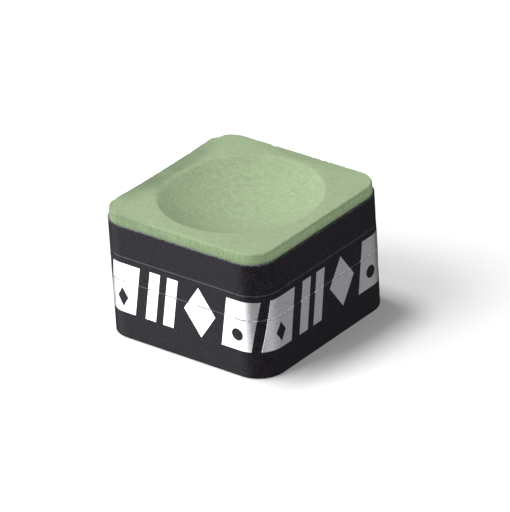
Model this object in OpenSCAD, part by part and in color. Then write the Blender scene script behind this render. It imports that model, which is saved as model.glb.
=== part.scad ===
// Cue chalk cube: a pressed chalk block with a dish for the cue tip, in a
// perforated wrap label whose two upper bands tear off as the chalk wears down.
// Millimetres, +Z up, origin at the middle of the base.

/* [Chalk block] */
// Width of the square block, face to face
block_w = 22.2; // [18:0.1:28]
// Height of the block
block_h = 15.2; // [12.5:0.1:24]
// Radius of the four upright corners
corner_r = 3; // [1.8:0.1:4.5]
// Rounding of the top edge
top_round = 0.25; // [0.1:0.05:0.5]
// Chamfer of the bottom edge
base_chamfer = 0.2; // [0.1:0.05:0.4]
// Diameter of the dish at the top face
dish_d = 18.4; // [12:0.1:20]
// Depth of the dish
dish_depth = 2.5; // [1:0.1:3.5]

/* [Wrap label] */
// Bare chalk above the label
bare_h = 1.3; // [0.5:0.1:3]
// Height of the label's lower edge above the base
label_lift = 0.1; // [0.05:0.05:0.5]
// Height of the upper tear-off band
upper_band_h = 3.7; // [2.5:0.1:5]
// Height of the middle tear-off band
middle_band_h = 2.9; // [2:0.1:4]
// Length of the tail that laps over the label's own head
overlap = 4; // [2:0.5:5]

/* [Label layers] */
// Thickness of the adhesive coat
adhesive_t = 0.05; // [0.03:0.01:0.08]
// Thickness of the paper web
paper_t = 0.1; // [0.06:0.01:0.2]
// Thickness of the black printed film
film_t = 0.03; // [0.02:0.01:0.06]
// Thickness of the silver foil
foil_t = 0.03; // [0.02:0.01:0.05]
// Gap between a tear-off band's adhesive and the chalk
tear_clearance = 0.02; // [0.01:0.005:0.025]

/* [Perforations] */
// Height of the cut between two bands
slit_h = 0.1; // [0.06:0.01:0.2]
// Width of each uncut tie across the slit
tie_w = 0.2; // [0.1:0.05:0.35]
// Wanted distance from one tie to the next
tie_pitch = 0.76; // [0.6:0.02:1.5]

/* [Foil marks] */
// Height of the marks
mark_h = 6.1; // [4:0.1:7]
// Height of the marks' tops above the cut under the middle band
mark_rise = 2.2; // [1:0.1:2.8]
// Width of a block mark
mark_w = 3.9; // [2.4:0.1:4]
// Lean of the marks from upright
mark_lean = 10; // [0:1:15]
// Bar width in the mark of two bars
bar_w = 1.45; // [0.8:0.05:1.6]
// Width of the lozenge mark
lozenge_w = 4.3; // [2.4:0.1:4.4]
// Width of the window in a block mark
window_w = 1.5; // [0.8:0.1:2]
// Height of the lozenge window in a block mark
window_h = 2.4; // [1:0.1:2.8]

/* [Hidden] */
$fn = 96;

half_w = block_w / 2;
edge_run = half_w - corner_r;        // half the straight run of a side
round_steps = 6;                     // flats that draw the top edge's rounding
dish_r = dish_d / 2;
dish_sphere_r = (dish_r * dish_r + dish_depth * dish_depth) / (2 * dish_depth);

// Offsets of the label's layers from the chalk's upright faces
paper_in = adhesive_t;
film_in = paper_in + paper_t;
label_t = film_in + film_t;
foil_out = label_t + foil_t;

// Heights of the bands, from the base up
label_top = block_h - bare_h;
upper_low = label_top - upper_band_h;
middle_high = upper_low - slit_h;
middle_low = middle_high - middle_band_h;
lower_high = middle_low - slit_h;
lower_low = label_lift;
LOWER = [lower_low, lower_high];
MIDDLE = [middle_low, middle_high];
UPPER = [upper_low, label_top];

// The seam, in the middle of the back face: the tail climbs a ramp and laps the head
head_x = overlap / 2;
tail_end_x = head_x - overlap;
ramp_gap = 0.05;                     // between the head's cut end and the ramp
ramp_run = 0.5;
ramp_top_x = head_x + ramp_gap;
ramp_foot_x = ramp_top_x + ramp_run;
seam_margin = 0.4;                   // no foil this close to the seam

// The marks, four to a side, cross the lower cut; their windows lie in the part below it
mark_high = middle_low + mark_rise;
mark_low = mark_high - mark_h;
mark_mid = (mark_low + mark_high) / 2;
window_up = (mark_low + lower_high) / 2 - mark_mid;
window_across = window_up * tan(mark_lean);
marks_per_side = 4;
side_run = 2 * edge_run + PI / 2 * (corner_r + label_t);
mark_pitch = side_run / marks_per_side;
MARKS = [0, 1, 2, 3];                // window block, two bars, lozenge, ball block

// ---------- shared shapes ----------

// Square with true round corners, seen from above
module rounded_square(half, r) {
    square([2 * half, 2 * (half - r)], center = true);
    square([2 * (half - r), 2 * half], center = true);
    for (x = [-1, 1], y = [-1, 1])
        translate([x * (half - r), y * (half - r)])
            circle(r);
}

// The block grown outwards by an offset
module grown(offset_by) {
    rounded_square(half_w + offset_by, corner_r + offset_by);
}

// One layer of the label from above: once round the block, up the ramp and over the head
module wrap_plan(inner, outer) {
    difference() {
        grown(outer);
        grown(inner);
        translate([head_x, half_w - corner_r])
            square([ramp_foot_x - head_x, 2 * corner_r + outer]);
    }
    polygon([
        [ramp_foot_x, half_w + inner],
        [ramp_foot_x, half_w + outer],
        [ramp_top_x, half_w + outer + label_t],
        [tail_end_x, half_w + outer + label_t],
        [tail_end_x, half_w + inner + label_t],
        [ramp_top_x, half_w + inner + label_t]
    ]);
}

// A layer of one band, between the band's two heights
module band_layer(band, inner, outer) {
    translate([0, 0, band[0]])
        linear_extrude(band[1] - band[0])
            wrap_plan(inner, outer);
}

// ---------- chalk block ----------

// Section of the block's rim, from a corner's axis outwards
module rim_section() {
    arc = [for (i = [0:round_steps])
        let (a = 90 * i / round_steps)
        [corner_r - top_round + top_round * cos(a), block_h - top_round + top_round * sin(a)]];
    polygon(concat(
        [[0, 0], [corner_r - base_chamfer, 0], [corner_r, base_chamfer]],
        arc,
        [[0, block_h]]
    ));
}

// The block before the dish is cut: a core, four sides and four corners
module block_blank() {
    linear_extrude(block_h)
        square(2 * edge_run, center = true);
    for (turn = [0:90:270])
        rotate(turn) {
            translate([edge_run, edge_run, 0])
                rotate([90, 0, 0])
                    linear_extrude(2 * edge_run)
                        rim_section();
            translate([edge_run, edge_run, 0])
                rotate_extrude(angle = 90)
                    rim_section();
        }
}

module chalk_block() {
    color("#a9c497")
        difference() {
            block_blank();
            translate([0, 0, block_h - dish_depth + dish_sphere_r])
                sphere(dish_sphere_r);
        }
}

// ---------- label layers ----------

// The lower band stays glued to the chalk
module lower_band_adhesive() {
    color("#d8d2bc") band_layer(LOWER, 0, paper_in);
}

// A tear-off band's adhesive stands just clear of the chalk
module tear_band_adhesive(band) {
    color("#d8d2bc") band_layer(band, tear_clearance, paper_in);
}

module band_paper(band) {
    color("#d9dbd6") band_layer(band, paper_in, film_in);
}

module band_film(band) {
    color("#1d1c22") band_layer(band, film_in, label_t);
}

// ---------- foil marks ----------

// Corners of a leaning bar of a width, centred at x
function leaning_bar(x, w) =
    let (shift = mark_h / 2 * tan(mark_lean))
    [[x - w / 2 - shift, -mark_h / 2], [x + w / 2 - shift, -mark_h / 2],
     [x + w / 2 + shift, mark_h / 2], [x - w / 2 + shift, mark_h / 2]];

// Corners of an upright lozenge
function lozenge(w, h) = [[0, -h / 2], [w / 2, 0], [0, h / 2], [-w / 2, 0]];

module mark_outline(kind) {
    if (kind == 0)
        difference() {
            polygon(leaning_bar(0, mark_w));
            translate([window_across, window_up])
                polygon(lozenge(window_w, window_h));
        }
    if (kind == 1)
        for (side = [-1, 1])
            polygon(leaning_bar(side * (mark_w - bar_w) / 2, bar_w));
    if (kind == 2)
        polygon(lozenge(lozenge_w, mark_h));
    if (kind == 3)
        difference() {
            polygon(leaning_bar(0, mark_w));
            translate([window_across, window_up])
                circle(d = window_w);
        }
}

// One mark's cutter, on the face that is turned to the front
module mark_cutter(place, kind) {
    translate([place, -edge_run, mark_mid])
        rotate([90, 0, 0])
            linear_extrude(2 * corner_r)
                mark_outline(kind);
}

// True where a mark on the back face would lie under or against the seam
function at_seam(turn, place) =
    let (x = -place, reach = mark_w / 2 + mark_h / 2 * tan(mark_lean) + seam_margin)
    turn == 180 && x + reach > tail_end_x && x - reach < ramp_foot_x;

// The parts of all marks that lie on one band
module band_foil(band) {
    low = max(band[0], mark_low);
    high = min(band[1], mark_high);
    color("#b9bac2")
        intersection() {
            translate([0, 0, low])
                linear_extrude(high - low)
                    difference() {
                        grown(foil_out);
                        grown(label_t);
                    }
            union()
                for (turn = [0:90:270], i = [0:marks_per_side - 1]) {
                    place = (i - (marks_per_side - 1) / 2) * mark_pitch;
                    if (!at_seam(turn, place))
                        rotate(turn) mark_cutter(place, MARKS[i]);
                }
        }
}

// ---------- perforation ties ----------

// One tie, from the paper's inner face out to the film's outer face
module tie(face, slit_low) {
    translate([-tie_w / 2, -(face + label_t), slit_low])
        cube([tie_w, label_t - paper_in, slit_h]);
}

// Ties all round one slit, evenly spread along each side, corner and tail
module ties(slit_low) {
    side_ties = round(2 * edge_run / tie_pitch);
    side_step = 2 * edge_run / side_ties;
    corner_ties = round(PI / 2 * (corner_r + label_t) / tie_pitch);
    corner_step = 90 / corner_ties;
    tail_ties = floor(overlap / tie_pitch);
    color("#26252b") {
        for (turn = [0:90:270], i = [0:side_ties - 1]) {
            x = (i + 0.5) * side_step - edge_run;
            over_gap = turn == 180 && -x > head_x - tie_w && -x < ramp_foot_x + tie_w;
            if (!over_gap)
                rotate(turn) translate([x, 0, 0]) tie(half_w, slit_low);
        }
        for (turn = [0:90:270], i = [0:corner_ties - 1])
            rotate(turn)
                translate([edge_run, -edge_run, 0])
                    rotate((i + 0.5) * corner_step)
                        tie(corner_r, slit_low);
        for (i = [0:tail_ties - 1])
            rotate(180)
                translate([-head_x + (i + 0.5) * overlap / tail_ties, 0, 0])
                    tie(half_w + label_t, slit_low);
    }
}

chalk_block();
lower_band_adhesive();
band_paper(LOWER);  // lower_band_paper
band_film(LOWER);  // lower_band_film
band_foil(LOWER);  // lower_band_foil
tear_band_adhesive(MIDDLE);  // middle_band_adhesive
band_paper(MIDDLE);  // middle_band_paper
band_film(MIDDLE);  // middle_band_film
band_foil(MIDDLE);  // middle_band_foil
ties(lower_high);  // lower_perforation_ties
tear_band_adhesive(UPPER);  // upper_band_adhesive
band_paper(UPPER);  // upper_band_paper
band_film(UPPER);  // upper_band_film
ties(middle_high);  // upper_perforation_ties
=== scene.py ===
import math

import bpy
import numpy as np
from bpy.props import FloatProperty, FloatVectorProperty, PointerProperty
from mathutils import Matrix, Vector, noise
from mathutils.bvhtree import BVHTree


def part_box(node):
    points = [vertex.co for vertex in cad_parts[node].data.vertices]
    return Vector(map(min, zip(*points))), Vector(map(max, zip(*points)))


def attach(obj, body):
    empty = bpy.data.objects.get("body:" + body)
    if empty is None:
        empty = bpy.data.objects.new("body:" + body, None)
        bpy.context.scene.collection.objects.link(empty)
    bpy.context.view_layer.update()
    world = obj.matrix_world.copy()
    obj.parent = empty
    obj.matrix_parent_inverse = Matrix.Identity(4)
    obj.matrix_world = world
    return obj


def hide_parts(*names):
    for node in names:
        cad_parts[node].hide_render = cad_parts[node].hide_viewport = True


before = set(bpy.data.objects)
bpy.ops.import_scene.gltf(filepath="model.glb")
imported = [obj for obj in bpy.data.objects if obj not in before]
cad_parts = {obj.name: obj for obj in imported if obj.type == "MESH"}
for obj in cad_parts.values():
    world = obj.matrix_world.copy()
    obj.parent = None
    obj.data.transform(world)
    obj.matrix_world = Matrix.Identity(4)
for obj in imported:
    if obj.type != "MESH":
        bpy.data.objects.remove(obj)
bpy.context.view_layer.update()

bl_info = {
    "name": "Cue Chalk",
    "version": (1, 0, 0),
    "blender": (4, 5, 0),
    "location": "View3D > Sidebar > Cue Chalk",
    "description": "A block of cue chalk in its perforated wrap label",
    "category": "Add Mesh",
}

MM = 0.001


# ---------- sizes that come from the frame ----------


def side_reach(node):
    """How far a node reaches from the middle, in mm, on the side without the seam."""
    return -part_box(node)[0].y / MM


def heights(node):
    """Lowest and highest point of a node, in mm."""
    low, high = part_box(node)
    return low.z / MM, high.z / MM


HALF = side_reach("chalk_block")
BLOCK_TOP = heights("chalk_block")[1]
FILM_OUT = side_reach("lower_band_film") - HALF
ADHESIVE_OUT = side_reach("lower_band_adhesive") - HALF
LABEL_TOP = heights("upper_band_film")[1]
CUT_EDGES = (
    heights("lower_band_film")[1],
    *heights("middle_band_film"),
    heights("upper_band_film")[0],
)


# ---------- settings ----------


class ChalkSettings(bpy.types.PropertyGroup):
    """Shape and finish of the pressed block."""

    corner: FloatProperty(
        name="Corner", description="Radius of the upright corners, mm", default=3.0, min=1, max=5
    )
    edge: FloatProperty(
        name="Edge", description="Rounding of the top edge, mm", default=0.28, min=0.05, max=1
    )
    base_edge: FloatProperty(
        name="Base edge", description="Chamfer of the bottom edge, mm", default=0.2, min=0.05, max=1
    )
    dish_radius: FloatProperty(
        name="Dish radius", description="Radius of the dish's rim, mm", default=9.2, min=5, max=10.5
    )
    dish_depth: FloatProperty(
        name="Dish depth", description="Depth of the dish, mm", default=2.5, min=0.5, max=4
    )
    groove_pitch: FloatProperty(
        name="Groove pitch", description="Distance between cutter rings, mm", default=0.38
    )
    groove_depth: FloatProperty(
        name="Groove depth", description="Depth of the cutter rings, mm", default=0.003
    )
    sag: FloatProperty(
        name="Worn side", description="How far the left side's edge is worn down, mm", default=0.2
    )
    colour: FloatVectorProperty(
        name="Chalk", description="Colour of the chalk", subtype="COLOR", size=3,
        default=(0.272, 0.347, 0.209), min=0, max=1,
    )
    cut_side: FloatVectorProperty(
        name="Side chalk", description="Colour of the sawn side", subtype="COLOR", size=3,
        default=(0.25, 0.342, 0.192), min=0, max=1,
    )
    # pale: a thin even dust over the top, also laid along the top edges and the dish's rim as a
    # painted highlight
    pale: FloatVectorProperty(
        name="Powder and edge highlight", description="Colour of loose chalk powder and of the painted edge highlight", subtype="COLOR", size=3,
        default=(0.345, 0.425, 0.275), min=0, max=1,
    )
    # the darker tone laid on the top's -X flat beside the dish, along its -X outer edge and faintly
    # towards +Y; also painted shade in the centre dimple
    darker_patches_and_dimple_shade: FloatVectorProperty(
        name="Darker chalk", description="Colour of the darker patches on the top, also painted shade in the dimple", subtype="COLOR",
        size=3, default=(0.15, 0.197, 0.12), min=0, max=1,
    )


class LabelSettings(bpy.types.PropertyGroup):
    """Finish of the wrap label."""

    film: FloatVectorProperty(
        name="Black film", description="Colour of the printed film", subtype="COLOR", size=3,
        default=(0.0085, 0.0067, 0.0105), min=0, max=1,
    )
    cracked: FloatVectorProperty(
        name="Cracked print", description="Colour where the print has cracked", subtype="COLOR",
        size=3, default=(0.24, 0.25, 0.3), min=0, max=1,
    )
    paper: FloatVectorProperty(
        name="Paper", description="Colour of the bare paper", subtype="COLOR", size=3,
        default=(0.2, 0.19, 0.23), min=0, max=1,
    )
    stained: FloatVectorProperty(
        name="Stained paper", description="Colour of the burr beside black print",
        subtype="COLOR", size=3, default=(0.045, 0.042, 0.052), min=0, max=1,
    )
    tie_pitch: FloatProperty(
        name="Tie pitch", description="Distance between the ties of a perforation, mm", default=0.76
    )
    tie_width: FloatProperty(name="Tie width", description="Width of one tie, mm", default=0.2)
    overlap: FloatProperty(
        name="Overlap", description="How far the label's tail laps its head, mm", default=4.0
    )
    ramp: FloatProperty(
        name="Ramp", description="Length of the tail's climb on to the head, mm", default=0.5
    )
    adhesive: FloatVectorProperty(
        name="Adhesive", description="Colour of the dried glue", subtype="COLOR", size=3,
        default=(0.2, 0.21, 0.17), min=0, max=1,
    )
    foil: FloatVectorProperty(
        name="Foil", description="Colour of the stamped foil", subtype="COLOR", size=3,
        default=(0.88, 0.88, 0.92), min=0, max=1,
    )


class StageSettings(bpy.types.PropertyGroup):
    """Camera and studio light."""

    lens: FloatProperty(name="Lens", description="Focal length, mm", default=378.9)
    distance: FloatProperty(
        name="Distance", description="Camera to block", default=0.589, unit="LENGTH"
    )
    azimuth: FloatProperty(
        name="Azimuth", description="Camera's place round the block",
        default=math.radians(39.81), subtype="ANGLE",
    )
    elevation: FloatProperty(
        name="Elevation", description="Camera's height angle",
        default=math.radians(28.18), subtype="ANGLE",
    )
    roll: FloatProperty(
        name="Roll", description="Camera's tilt about its own axis",
        default=math.radians(-3.6), subtype="ANGLE",
    )
    target: FloatVectorProperty(
        name="Target", description="Point that the camera looks at, mm",
        default=(1.455, 0.024, 7.786), size=3,
    )
    key: FloatProperty(name="Key", description="Power of the key light, W", default=5.6)
    overhead: FloatProperty(name="Overhead", description="Power of the high light, W", default=2.9)
    fill: FloatProperty(name="Fill", description="Power of the low light on the right, W", default=1.2)
    ambient: FloatProperty(name="Ambient", description="Strength of the room's light", default=0.1)
    floor_glow: FloatProperty(
        name="Mirrored floor", description="Strength that glossy prints mirror below", default=0.17
    )
    left_card: FloatProperty(name="Left card", description="Strength of the left card", default=2.3)
    right_card: FloatProperty(
        name="Right card", description="Strength of the right card", default=0.5
    )


# ---------- shader maths ----------


class Wire:
    """A node's output, with arithmetic on it."""

    def __init__(self, board, socket):
        self.board = board
        self.socket = socket

    def math(self, operation, *terms):
        return self.board.node(
            "ShaderNodeMath", {"operation": operation}, dict(enumerate(terms))
        )

    def __add__(self, other):
        return self.math("ADD", self, other)

    __radd__ = __add__

    def __sub__(self, other):
        return self.math("SUBTRACT", self, other)

    def __rsub__(self, other):
        return self.math("SUBTRACT", other, self)

    def __mul__(self, other):
        return self.math("MULTIPLY", self, other)

    __rmul__ = __mul__

    def __truediv__(self, other):
        return self.math("DIVIDE", self, other)

    def __pow__(self, other):
        return self.math("POWER", self, other)

    def size(self):
        return self.math("ABSOLUTE", self)

    def clamp(self):
        return self.board.node("ShaderNodeClamp", {}, {"Value": self})

    def between(self, low, high):
        """0 below low, 1 above high, smooth in between."""
        return self.board.node(
            "ShaderNodeMapRange",
            {"interpolation_type": "SMOOTHSTEP"},
            {"Value": self, "From Min": low, "From Max": high},
        )


class Board:
    """The nodes of one material, or of the world."""

    def __init__(self, owner, shader="Principled BSDF"):
        owner.use_nodes = True
        self.owner = owner
        self.nodes = owner.node_tree.nodes
        self.links = owner.node_tree.links
        self.shader = self.nodes[shader]

    def node(self, kind, settings, sockets, output=0):
        """Adds a node: its settings first, then values or links on its inputs."""
        made = self.nodes.new(kind)
        for key, value in settings.items():
            setattr(made, key, value)
        for key, value in sockets.items():
            self._plug(made.inputs[key], value)
        return Wire(self, made.outputs[output])

    def _plug(self, socket, value):
        if isinstance(value, Wire):
            self.links.new(value.socket, socket)
        else:
            socket.default_value = value

    def place(self, stretch=(1, 1, 1)):
        """Position on the piece in mm, stretched along each axis."""
        at = self.node("ShaderNodeTexCoord", {}, {}, output="Object")
        scale = [s / MM for s in stretch]
        return self.node("ShaderNodeVectorMath", {"operation": "MULTIPLY"}, {0: at, 1: scale})

    def split(self, vector):
        """The three parts of a vector."""
        made = self.nodes.new("ShaderNodeSeparateXYZ")
        self._plug(made.inputs[0], vector)
        return [Wire(self, out) for out in made.outputs]

    def noise(self, at, scale, detail=2.0, roughness=0.5, distortion=0.0):
        return self.node(
            "ShaderNodeTexNoise",
            {},
            {
                "Vector": at,
                "Scale": scale,
                "Detail": detail,
                "Roughness": roughness,
                "Distortion": distortion,
            },
        )

    def mix(self, factor, first, second):
        """From the first colour at 0 to the second at 1."""
        return self.node(
            "ShaderNodeMix", {"data_type": "RGBA"}, {0: factor, 6: first, 7: second}, output=2
        )

    def shade(self, colour, factor):
        """A colour made lighter or darker by a number that varies."""
        if not isinstance(colour, Wire):
            colour = colour[:3]
        return self.node(
            "ShaderNodeVectorMath", {"operation": "SCALE"}, {0: colour, "Scale": factor}
        )

    def attribute(self, name):
        """A number that the mesh carries."""
        return self.node("ShaderNodeAttribute", {"attribute_name": name}, {}, output="Fac")

    def bump(self, height, depth_mm, strength=1.0):
        return self.node(
            "ShaderNodeBump", {}, {"Height": height, "Strength": strength, "Distance": depth_mm * MM}
        )

    def finish(self, **sockets):
        """Plugs the shader's inputs and returns the material or world."""
        for key, value in sockets.items():
            self._plug(self.shader.inputs[key.replace("_", " ")], value)
        return self.owner


def material_board(name):
    return Board(bpy.data.materials.new(name))


def rgba(colour):
    return (*colour, 1.0)


# ---------- materials ----------


def chalk_material(look):
    """Pressed silica: matte, grainy, turned in the dish, scored down the sides."""
    board = material_board("pressed_chalk")
    at = board.place()
    x, y, _ = board.split(at)
    radius = (x * x + y * y) ** 0.5
    ring_way = board.node(
        "ShaderNodeCombineXYZ",
        {},
        {0: radius * 5.5, 1: x / (radius + 0.05) * 5.0, 2: y / (radius + 0.05) * 5.0},
    )
    grain = board.noise(at, 9.0, detail=3.0, roughness=0.75)
    mottle = board.noise(at, 1.7, detail=4.0, roughness=0.6)
    cloud = board.noise(at, 0.25, detail=2.0)
    arcs = board.noise(ring_way, 1.0, detail=3.0, roughness=0.6)
    stroke = board.noise(board.place((4.5, 4.5, 0.35)), 1.0, detail=3.0)
    dust_and_edge_highlight = board.attribute("dust_and_edge_highlight")
    darker_patches_and_dimple_shade = board.attribute("darker_patches_and_dimple_shade")
    side = board.attribute("side")
    dish = board.attribute("dish")
    tone = (
        1.0
        + 0.75 * (grain - 0.5)
        + 0.42 * (mottle - 0.5)
        + 0.12 * (cloud - 0.5)
        + dish * ((arcs - 0.5) * 0.3 + (grain - 0.5) * 0.25)
        + side * ((stroke - 0.5) * 0.7 + (grain - 0.5) * 0.8)
        - (1 - dish) * (mottle - 0.5).clamp() * 0.3
    )
    pits = board.node("ShaderNodeTexVoronoi", {"feature": "F1"}, {"Vector": at, "Scale": 2.3})
    # pit: small pits, dented in by the bump and also darkened: painted shade in the pits
    pit = 1 - pits.between(0.05, 0.12)
    colour = board.mix(side, rgba(look.colour), rgba(look.cut_side))
    # paler along the top edges and the dish's rim: painted highlight, over a thin even dust
    colour = board.mix((dust_and_edge_highlight * (0.3 + 0.9 * grain)).clamp(), colour, rgba(look.pale))
    # darker on the -X flat, along the -X edge and faintly towards +Y; in the centre dimple this is
    # painted shade
    colour = board.mix((darker_patches_and_dimple_shade * (0.75 + 0.5 * mottle)).clamp(), colour, rgba(look.darker_patches_and_dimple_shade))
    colour = board.shade(colour, tone - 0.2 * pit)
    height = grain * 0.7 + mottle * 0.5 + dish * arcs * 0.8 - pit * 0.6
    return board.finish(
        Base_Color=colour,
        Roughness=0.97,
        Specular_IOR_Level=0.12,
        Normal=board.bump(height, 0.02, 0.6),
    )


def worn_cut(board, at, edges):
    """1 in the hair-thin strips beside the perforations, where the wheel cracked the print."""
    _, _, z = board.split(at)
    strip = None
    for edge in edges:
        beside = 1 - (z - edge).size().between(0.03, 0.055)
        strip = beside if strip is None else strip + beside
    breaks = board.noise(at, 1.1, detail=2.0, roughness=0.6).between(0.4, 0.52)
    return (strip * breaks).clamp()


def film_material(look):
    """Black print on the paper: dull, with the paper's fibres showing through, frayed on top."""
    board = material_board("black_film")
    at = board.place()
    _, _, z = board.split(at)
    fibre = board.noise(board.place((2.2, 2.2, 3.4)), 1.8, detail=4.0, roughness=0.7)
    speck = board.noise(at, 5.3, detail=2.0, roughness=0.7)
    scuff = board.noise(at, 0.5, detail=4.0, roughness=0.7)
    tone = 0.6 + 9.0 * (fibre - 0.49).clamp() + 14.0 * (speck - 0.51).clamp()
    worn = scuff.between(0.55, 0.75) * speck.between(0.48, 0.62) * 0.25
    frayed = z.between(LABEL_TOP - 0.2, LABEL_TOP - 0.03) * (fibre + speck).between(0.95, 1.15)
    colour = board.shade(rgba(look.film), tone)
    colour = board.mix(worn, colour, (0.05, 0.044, 0.056, 1))
    colour = board.mix(worn_cut(board, at, CUT_EDGES) * 0.15, colour, rgba(look.cracked))
    colour = board.mix(frayed * 0.35, colour, rgba(look.cracked))
    return board.finish(
        Base_Color=colour,
        Roughness=0.5 + 0.3 * (fibre - 0.5) + 0.3 * (speck - 0.5),
        Specular_IOR_Level=0.16,
        Normal=board.bump(fibre * 0.6 + speck * 0.5, 0.03, 0.7),
    )


def paper_material(look):
    """Bare cut paper: off-white, fibrous."""
    board = material_board("cut_paper")
    at = board.place()
    fibre = board.noise(at, 12.0, detail=3.0, roughness=0.7)
    ink = board.noise(at, 2.2, detail=2.0)
    colour = board.shade(rgba(look.paper), 0.8 + 0.4 * fibre)
    colour = board.mix(ink.between(0.42, 0.6) * 0.8, colour, (0.04, 0.035, 0.045, 1))
    return board.finish(
        Base_Color=colour, Roughness=0.9, Normal=board.bump(fibre, 0.02, 0.6)
    )


def adhesive_material(look):
    """Dried glue, dull and slightly uneven."""
    board = material_board("dried_glue")
    patch = board.noise(board.place(), 3.0, detail=3.0)
    colour = board.shade(rgba(look.adhesive), 0.75 + 0.5 * patch)
    return board.finish(
        Base_Color=colour, Roughness=0.5 + 0.3 * patch, Normal=board.bump(patch, 0.01, 0.5)
    )


def foil_material(look):
    """Stamped foil: bright metal with fine brushed streaks and pinholes."""
    board = material_board("silver_foil")
    at = board.place()
    streak = board.noise(board.place((0.4, 0.4, 4.5)), 1.6, detail=4.0, roughness=0.7)
    grain = board.noise(at, 4.5, detail=3.0, roughness=0.75)
    dents = board.noise(at, 0.7, detail=2.0)
    crack = worn_cut(board, at, CUT_EDGES)
    colour = board.shade(rgba(look.foil), 0.3 + 0.6 * streak + 0.85 * grain)
    colour = board.mix(crack, colour, rgba(look.cracked))
    return board.finish(
        Base_Color=colour,
        Metallic=1 - crack,
        Roughness=0.2 + 0.2 * streak + 0.2 * grain,
        Normal=board.bump(streak * 0.6 + grain * 0.5 + dents * 1.2, 0.014, 0.6),
    )


def perforation_material(look):
    """Paper burr in the slits, stained by the print, and the black uncut ties. Where a slit cuts foil,
    burr and ties take the foil's colour as a painted glint of the cut edge.
    """
    board = material_board("perforated_edge")
    fibre = board.noise(board.place(), 9.0, detail=3.0, roughness=0.7)
    bright = board.attribute("bright")
    # where the slit cuts foil the burr is foil-coloured: a painted glint of the foil's cut edge
    burr = board.mix(bright, rgba(look.stained), rgba(look.foil))
    burr = board.shade(burr, 0.6 + 0.8 * fibre)
    colour = board.mix(board.attribute("tie") * (1 - bright), burr, rgba(look.film))
    return board.finish(
        Base_Color=colour,
        Roughness=0.5,
        Specular_IOR_Level=0.9,
        Normal=board.bump(fibre, 0.01, 0.5),
    )


def floor_material():
    """Plain pale acrylic, lit faintly from below."""
    board = material_board("light_table")
    return board.finish(
        Base_Color=(0.76, 0.76, 0.76, 1),
        Roughness=0.9,
        Specular_IOR_Level=0.1,
        Emission_Color=(1, 1, 1, 1),
        Emission_Strength=0.16,
    )


def room(look):
    """Even dim light. Glossy prints mirror two low cards, and a dark corner behind the block."""
    board = Board(bpy.data.worlds.new("room"), "Background")
    way = board.node("ShaderNodeTexCoord", {}, {}, output="Generated")
    x, y, z = board.split(way)
    low = 1 - z.between(-0.1, 0.0)
    left_card = (x * -0.72 + y * -0.69).between(0.55, 0.85)
    right_card = (x * 0.98 + y * -0.2).between(0.82, 0.9)
    behind = (x * -0.64 + y * 0.77).between(0.35, 0.75)
    level = look.ambient + low * (
        look.floor_glow + left_card * look.left_card + right_card * look.right_card
    )
    level = level * (1 - 0.85 * behind * low)
    return board.finish(Color=(1, 1, 1, 1), Strength=level)


def coat(piece, material):
    """Gives a piece its one material."""
    piece.data.materials.clear()
    piece.data.materials.append(material)


# ---------- mesh helpers ----------


def mesh_piece(name, points, faces, smooth=True):
    """A mesh object from points in mm."""
    mesh = bpy.data.meshes.new(name)
    mesh.from_pydata([Vector(p) * MM for p in points], [], faces)
    mesh.update()
    if smooth:
        mesh.polygons.foreach_set("use_smooth", [True] * len(mesh.polygons))
    piece = bpy.data.objects.new(name, mesh)
    bpy.context.scene.collection.objects.link(piece)
    return piece


def carry(piece, name, values):
    """Stores a number on each point, for the material to read."""
    layer = piece.data.attributes.new(name, "FLOAT", "POINT")
    layer.data.foreach_set("value", np.asarray(values, np.float32))


def smoothstep(low, high, value):
    t = np.clip((value - low) / (high - low), 0, 1)
    return t * t * (3 - 2 * t)


def soft_positive(value, softness):
    """max(value, 0) with a rounded corner."""
    return (value + np.sqrt(value * value + softness * softness)) / 2


def wave(points, scale, seed):
    """Smooth noise at each point, from -1 to 1."""
    shift = Vector((seed * 7.13, seed * 3.71, seed * 1.37))
    return np.array([noise.noise(Vector(p) * scale + shift) for p in points])


# ---------- chalk block ----------

# points round the block
TURNS = 480
# how far the worn side reaches each way from its middle, at the dish's rim and at the edge, mm
WORN_RIM_REACH = 6.0
WORN_EDGE_REACH = 7.6
# the small dimple that the cutter's centre leaves, mm
DIMPLE_DEPTH = 0.03
DIMPLE_WIDTH = 0.16


def outline_radius(angles, half, corner):
    """Distance from the middle to a square outline with round corners."""
    c, s = np.abs(np.cos(angles)), np.abs(np.sin(angles))
    flat = half / np.maximum(c, s)
    centre = half - corner
    along = centre * (c + s)
    inside = np.maximum(along**2 - 2 * centre**2 + corner**2, 0)
    round_ = along + np.sqrt(inside)
    on_flat = flat * np.minimum(c, s) <= centre
    return np.where(on_flat, flat, round_)


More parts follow.
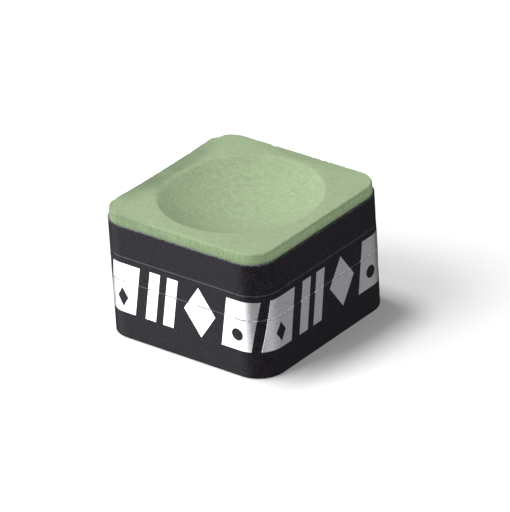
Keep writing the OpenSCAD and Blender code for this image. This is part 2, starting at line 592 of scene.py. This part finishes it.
def chalk_rings(look, angles):
    """Rings of the block from the base's middle up the sides and into the dish: (radius, z)."""
    half, corner, edge = HALF, look.corner, look.edge
    base = outline_radius(angles, half - look.base_edge, corner - look.base_edge)
    side = outline_radius(angles, half, corner)
    rings = [(base * share, 0.0) for share in (0.15, 0.4, 0.7, 0.9, 1.0)]
    rings += [(side, look.base_edge)]
    bare_low = LABEL_TOP - 0.25
    rings += [(side, z) for z in np.linspace(look.base_edge, bare_low, 12)[1:]]
    rings += [(side, z) for z in np.linspace(bare_low, BLOCK_TOP - edge, 20)[1:]]
    for step in range(1, 8):
        turn = math.pi / 2 * step / 7
        inset = edge * (1 - math.cos(turn))
        rings.append(
            (
                outline_radius(angles, half - inset, corner - inset),
                BLOCK_TOP - edge + edge * math.sin(turn),
            )
        )
    rim_outer = outline_radius(angles, half - edge, corner - edge)
    rim_inner = np.full_like(angles, look.dish_radius + 0.35)
    for share in np.linspace(0, 1, 26)[1:]:
        rings.append((rim_outer * (1 - share) + rim_inner * share, BLOCK_TOP))
    for radius in np.linspace(look.dish_radius + 0.35, 0.12, 150)[1:]:
        rings.append((np.full_like(angles, radius), BLOCK_TOP))
    return rings


def dish_drop(look, radius, rim):
    """How far the dish lies below the top face. rim says how softly its rim turns over."""
    sphere = (look.dish_radius**2 + look.dish_depth**2) / (2 * look.dish_depth)
    reach = np.minimum(radius, sphere * 0.98)
    drop = np.sqrt(sphere**2 - reach**2) - (sphere - look.dish_depth)
    return soft_positive(drop, rim) - soft_positive(-3.0, rim)


def shape_chalk(look, points):
    """Lowers the top face into its worn, tooled shape. Returns the marks the material reads."""
    x, y, z = points.T
    radius = np.hypot(x, y)
    upper = smoothstep(BLOCK_TOP - 1.2, BLOCK_TOP - 0.2, z)
    top = z > BLOCK_TOP - 1e-6
    worn = smoothstep(0, look.dish_radius, -x) * np.exp(-((y / WORN_RIM_REACH) ** 4))
    drop = np.where(top, dish_drop(look, radius, 0.05 + 0.3 * worn), 0)
    in_dish = smoothstep(look.dish_radius + 0.15, look.dish_radius - 0.25, radius)
    wander = wave(points * (1, 1, 0), 0.35, 3)
    depth_now = look.groove_depth * (0.6 + 0.7 * np.abs(wave(points * (1, 1, 0), 0.25, 5)))
    groove = np.cos(2 * math.pi * (radius + 0.12 * wander) / look.groove_pitch)
    turned = points * (1, 1, 0) / radius.clip(0.05)[:, None] * 3.2 + np.outer(radius, (0, 0, 4.2))
    scrape = wave(turned, 1.0, 7)
    z -= drop
    z += np.where(top, (groove * depth_now + look.groove_depth * 2.6 * scrape) * in_dish, 0)
    # the side whose edge is worn down
    along = np.exp(-((y / WORN_EDGE_REACH) ** 4))
    across = smoothstep(look.dish_radius - 1.0, HALF - 0.2, -x) * along
    z -= look.sag * across * upper
    # uneven pressing, loose grains and nicks along the rims
    swell = wave(points, 0.45, 11)
    fine = wave(points, 2.6, 17)
    grit = wave(points, 7.5, 23)
    relief = 0.012 * swell + 0.007 * fine + 0.006 * grit
    outline = outline_radius(np.arctan2(y, x), HALF, look.corner)
    near_edge = smoothstep(0.5, 0.05, outline - radius) * upper
    nick = np.maximum(wave(points, 0.9, 31) - 0.25, 0) + 0.7 * np.maximum(
        wave(points, 2.4, 37) - 0.25, 0
    )
    lowered = (relief - 0.02) * top - 0.3 * nick * near_edge
    z += lowered
    standing = smoothstep(0, look.base_edge, z)
    scored = wave(points * (1, 1, 0.08), 2.8, 41)
    inwards = 0.015 + 0.008 * scored + 0.006 * grit + 0.05 * nick * near_edge
    pull = 1 - inwards * standing / radius.clip(1)
    side_zone = smoothstep(BLOCK_TOP - 0.02, BLOCK_TOP - 0.3, z) * (~top)
    x *= np.where(~top, pull, 1)
    y *= np.where(~top, pull, 1)
    dimple = np.exp(-((radius / DIMPLE_WIDTH) ** 2)) * top
    z -= DIMPLE_DEPTH * dimple
    # painted highlight: paler along the top edges' crest and the dish's rim, over a thin even dust on
    # the whole top
    rim = np.exp(-(((radius - look.dish_radius) / 0.25) ** 2)) * top
    crest = smoothstep(0.4, 0.1, outline - radius) * upper * top
    dust_and_edge_highlight = np.clip(0.12 + 0.4 * crest + 0.2 * rim, 0, 1)
    # darker towards the middle of the +Y edge, outside the dish; darker on the -X flat outside the
    # dish, with a darker line along its outer edge
    darker_plus_y_flat = smoothstep(look.dish_radius - 0.3, HALF - 0.6, y) * np.exp(-((x / 6.5) ** 2)) * 0.3
    outside = 1 - in_dish
    darker_minus_x_flat = smoothstep(look.dish_radius - 1.4, HALF - 1.0, -x) * along * (0.7 + 0.3 * swell)
    towards_worn = smoothstep(0, look.dish_radius, -x)
    darker_minus_x_edge = smoothstep(0.5, 0.1, outline - radius) * towards_worn * (0.4 + 0.4 * fine)
    darker_patches_and_dimple_shade = np.clip((darker_minus_x_flat * 1.05 + darker_plus_y_flat) * outside + darker_minus_x_edge, 0, 1) * upper
    # painted shade: the centre dimple is darkened
    darker_patches_and_dimple_shade += 0.25 * dimple
    points[:, 0], points[:, 1], points[:, 2] = x, y, z
    return {"dust_and_edge_highlight": dust_and_edge_highlight, "darker_patches_and_dimple_shade": np.clip(darker_patches_and_dimple_shade, 0, 1), "side": side_zone, "dish": in_dish * top}


def build_chalk(look):
    angles = np.arange(TURNS) * 2 * math.pi / TURNS
    rings = chalk_rings(look, angles)
    points = [(0.0, 0.0, 0.0)]
    for radius, z in rings:
        points += list(zip(radius * np.cos(angles), radius * np.sin(angles), np.full(TURNS, z)))
    points.append((0.0, 0.0, BLOCK_TOP))
    points = np.array(points, float)
    marks = shape_chalk(look, points)
    last = len(points) - 1
    faces = [(0, 1 + (i + 1) % TURNS, 1 + i) for i in range(TURNS)]
    for ring in range(len(rings) - 1):
        a, b = 1 + ring * TURNS, 1 + (ring + 1) * TURNS
        faces += [
            (a + i, a + (i + 1) % TURNS, b + (i + 1) % TURNS, b + i) for i in range(TURNS)
        ]
    a = 1 + (len(rings) - 1) * TURNS
    faces += [(a + i, a + (i + 1) % TURNS, last) for i in range(TURNS)]
    piece = mesh_piece("chalk_body", points, faces)
    for name, values in marks.items():
        carry(piece, name, values)
    return piece


# ---------- perforations ----------

# how near a foil mark must lie for a slit to count as cut through foil, mm
FOIL_REACH = 0.08


def wrap_path(look, corner, step=0.08):
    """Once round the block from the label's head to its tail.

    Each station has an anchor, an outward direction, the reach from the anchor to the block's
    face, the lift of the lap (0 to 1) and the way gone so far in mm."""
    run = HALF - corner
    head = look.overlap / 2
    stations = []

    def side(turn, start, end):
        out = np.array((math.cos(turn), math.sin(turn)))
        along = np.array((-out[1], out[0]))
        for u in np.linspace(start, end, max(2, round((end - start) / step))):
            stations.append((*(along * u), *out, HALF))

    def bend(turn):
        centre = run * np.array(
            (math.cos(turn) - math.sin(turn), math.sin(turn) + math.cos(turn))
        )
        for angle in np.linspace(turn, turn + math.pi / 2, 60)[1:-1]:
            stations.append((*centre, math.cos(angle), math.sin(angle), corner))

    side(math.pi / 2, -head, run)
    for quarter in (1, 2, 3):
        bend(math.pi / 2 * quarter)
        side(math.pi / 2 * (quarter + 1), -run, run)
    bend(0)
    first_lap = len(stations)
    side(math.pi / 2, -run, head)
    stations = np.array(stations)
    x = stations[first_lap:, 0]
    lift = np.zeros(len(stations))
    lift[first_lap:] = np.clip((head + look.ramp - x) / look.ramp, 0, 1)
    at = stations[:, :2] + stations[:, 2:4] * stations[:, 4:5]
    gone = np.concatenate([[0], np.cumsum(np.hypot(*np.diff(at, axis=0).T))])
    return stations, lift, gone


def sweep(name, path, section):
    """A closed strip round the block. section gives (offset, z) arrays, one pair per corner."""
    stations, lift, _ = path
    count = len(stations)
    points = []
    for offset, z in section:
        reach = stations[:, 4] + offset + lift * FILM_OUT
        ring = stations[:, :2] + stations[:, 2:4] * reach[:, None]
        points.append(np.column_stack([ring, np.broadcast_to(z, count)]))
    points = np.concatenate(points)
    rows = len(section)
    faces = []
    for row in range(rows):
        a, b = row * count, (row + 1) % rows * count
        faces += [(a + i, a + i + 1, b + i + 1, b + i) for i in range(count - 1)]
    faces.append(tuple(row * count for row in range(rows)))
    faces.append(tuple(row * count + count - 1 for row in reversed(range(rows))))
    return mesh_piece(name, points, faces, smooth=False)


def near_foil(path, z):
    """1 where a foil mark meets the slit whose upper edge is at z."""
    stations, _, _ = path
    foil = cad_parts["middle_band_foil"].data
    tree = BVHTree.FromPolygons(
        [v.co for v in foil.vertices], [p.vertices[:] for p in foil.polygons]
    )
    reach = stations[:, 4] + FILM_OUT
    at = stations[:, :2] + stations[:, 2:4] * reach[:, None]
    found = [tree.find_nearest(Vector((x, y, z)) * MM, FOIL_REACH * MM)[0] for x, y in at]
    return np.array([place is not None for place in found], float)


def build_perforation(look, name, low, high):
    """The uncut ties of one perforation, and the paper burr that half fills its slits."""
    path = wrap_path(look, bpy.context.scene.chalk_settings.corner)
    gone = path[2]
    tie = (np.abs((gone / look.tie_pitch) % 1 - 0.5) * look.tie_pitch < look.tie_width / 2)
    ragged = wave(np.outer(gone, (1, 0, 0)), 2.7, 51) + 0.6 * wave(np.outer(gone, (1, 0, 0)), 9.0, 53)
    slit = high - low
    lowest = np.where(tie, low, low + slit * (0.18 + 0.16 * ragged).clip(0.02, 0.5))
    outer = np.where(tie, FILM_OUT, FILM_OUT - 0.012 + 0.01 * ragged)
    piece = sweep(
        name, path, [(ADHESIVE_OUT, lowest), (outer, lowest), (outer, high), (ADHESIVE_OUT, high)]
    )
    marks = {"tie": np.tile(tie, 4), "bright": np.tile(near_foil(path, high), 4)}
    for layer, values in marks.items():
        carry(piece, layer, values)
    return piece


# ---------- operators ----------


class CHALK_OT_block(bpy.types.Operator):
    """Make the pressed chalk block with its dish"""

    bl_idname = "cue_chalk.block"
    bl_label = "Chalk block"

    def execute(self, context):
        look = context.scene.chalk_settings
        piece = build_chalk(look)
        coat(piece, chalk_material(look))
        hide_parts("chalk_block")
        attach(piece, "block")
        return {"FINISHED"}


class CHALK_OT_label(bpy.types.Operator):
    """Finish the layers of the wrap label"""

    bl_idname = "cue_chalk.label"
    bl_label = "Wrap label"

    def execute(self, context):
        look = context.scene.label_settings
        finishes = {
            "film": film_material(look),
            "paper": paper_material(look),
            "adhesive": adhesive_material(look),
            "foil": foil_material(look),
        }
        for name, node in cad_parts.items():
            kind = name.rsplit("_", 1)[-1]
            if kind in finishes:
                coat(node, finishes[kind])
        return {"FINISHED"}


class CHALK_OT_perforations(bpy.types.Operator):
    """Make the two perforations that the bands tear along"""

    bl_idname = "cue_chalk.perforations"
    bl_label = "Perforations"

    def execute(self, context):
        look = context.scene.label_settings
        finish = perforation_material(look)
        cuts = {
            "lower": ("middle_band", CUT_EDGES[0], CUT_EDGES[1]),
            "upper": ("upper_band", CUT_EDGES[2], CUT_EDGES[3]),
        }
        for level, (body, low, high) in cuts.items():
            piece = build_perforation(look, level + "_perforation", low, high)
            coat(piece, finish)
            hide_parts(level + "_perforation_ties")
            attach(piece, body)
        return {"FINISHED"}


def aim(thing, target, roll=0.0):
    """Turns a light or camera to look at a point."""
    towards = Vector(target) - thing.location
    turn = towards.to_track_quat("-Z", "Y").to_matrix().to_4x4()
    place = Matrix.Translation(thing.location)
    thing.matrix_world = place @ turn @ Matrix.Rotation(roll, 4, "Z")


def around(azimuth, elevation, distance):
    """A point at a distance from the block, azimuth 0 in front of it."""
    flat = math.cos(elevation)
    return Vector(
        (math.sin(azimuth) * flat, -math.cos(azimuth) * flat, math.sin(elevation))
    ) * distance


def area_light(name, azimuth, elevation, distance, size, power):
    lamp = bpy.data.lights.new(name, "AREA")
    lamp.shape = "SQUARE"
    lamp.size = size
    lamp.energy = power
    light = bpy.data.objects.new(name, lamp)
    bpy.context.scene.collection.objects.link(light)
    light.location = around(math.radians(azimuth), math.radians(elevation), distance)
    aim(light, (0, 0, BLOCK_TOP * MM / 2))
    return light


class CHALK_OT_stage(bpy.types.Operator):
    """Set up the camera, the floor and the studio light"""

    bl_idname = "cue_chalk.stage"
    bl_label = "Stage"

    def execute(self, context):
        scene = context.scene
        look = scene.stage_settings
        lens = bpy.data.cameras.new("camera")
        lens.lens = look.lens
        lens.sensor_width = 36
        lens.clip_start, lens.clip_end = 0.01, 10
        camera = bpy.data.objects.new("camera", lens)
        scene.collection.objects.link(camera)
        target = Vector(look.target) * MM
        camera.location = target + around(look.azimuth, look.elevation, look.distance)
        aim(camera, target, look.roll)
        scene.camera = camera

        floor = mesh_piece(
            "floor",
            [(x * 1500, y * 1500, 0) for x, y in ((-1, -1), (1, -1), (1, 1), (-1, 1))],
            [(0, 1, 2, 3)],
            smooth=False,
        )
        coat(floor, floor_material())
        floor.visible_glossy = False

        area_light("key_light", -38, 42, 0.7, 0.5, look.key)
        area_light("overhead_light", -85, 71, 0.7, 0.2, look.overhead)
        fill = area_light("fill_light", 85, 8, 0.7, 0.28, look.fill)
        fill.visible_glossy = False

        scene.world = room(look)
        scene.view_settings.view_transform = "Standard"
        return {"FINISHED"}


class CHALK_PT_panel(bpy.types.Panel):
    """Lists the steps that make the block"""

    bl_label = "Cue Chalk"
    bl_idname = "CHALK_PT_panel"
    bl_space_type = "VIEW_3D"
    bl_region_type = "UI"
    bl_category = "Cue Chalk"

    def draw(self, context):
        for step in STEPS:
            self.layout.operator(step.bl_idname)


STEPS = (CHALK_OT_stage, CHALK_OT_block, CHALK_OT_label, CHALK_OT_perforations)
SETTINGS = {
    "chalk_settings": ChalkSettings,
    "label_settings": LabelSettings,
    "stage_settings": StageSettings,
}


def register():
    for group in SETTINGS.values():
        bpy.utils.register_class(group)
    for name, group in SETTINGS.items():
        setattr(bpy.types.Scene, name, PointerProperty(type=group))
    for step in STEPS:
        bpy.utils.register_class(step)
    bpy.utils.register_class(CHALK_PT_panel)


def unregister():
    bpy.utils.unregister_class(CHALK_PT_panel)
    for step in reversed(STEPS):
        bpy.utils.unregister_class(step)
    for name, group in SETTINGS.items():
        delattr(bpy.types.Scene, name)
        bpy.utils.unregister_class(group)


def main():
    register()
    bpy.ops.cue_chalk.stage()
    bpy.ops.cue_chalk.block()
    bpy.ops.cue_chalk.label()
    bpy.ops.cue_chalk.perforations()


if __name__ == "__main__":
    main()
